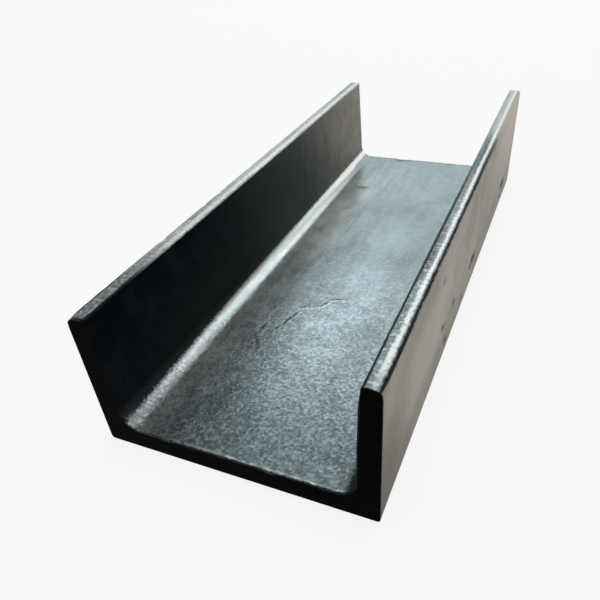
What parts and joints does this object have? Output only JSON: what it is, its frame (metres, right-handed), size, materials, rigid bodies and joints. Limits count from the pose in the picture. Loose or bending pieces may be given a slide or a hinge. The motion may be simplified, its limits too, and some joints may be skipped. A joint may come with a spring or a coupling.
{
  "type": "steel channel section",
  "caption": "Short cut piece of hot-rolled steel channel: flat web, tapered flanges with rounded toes, filleted roots and saw-cut ends, used as framing stock.",
  "frame": {"origin": "middle of the web's back face, at half the length", "axes": "+X across the section from one flange to the other, +Y along the length, +Z from the back of the web towards the toes"},
  "size_m": [0.075, 0.19, 0.04],
  "materials": {
    "rolled_steel": "hot-rolled, grey mill scale with worn bright edges"
  },
  "bodies": {
    "root": {"channel": "rolled_steel"}
  },
  "joints": []
}
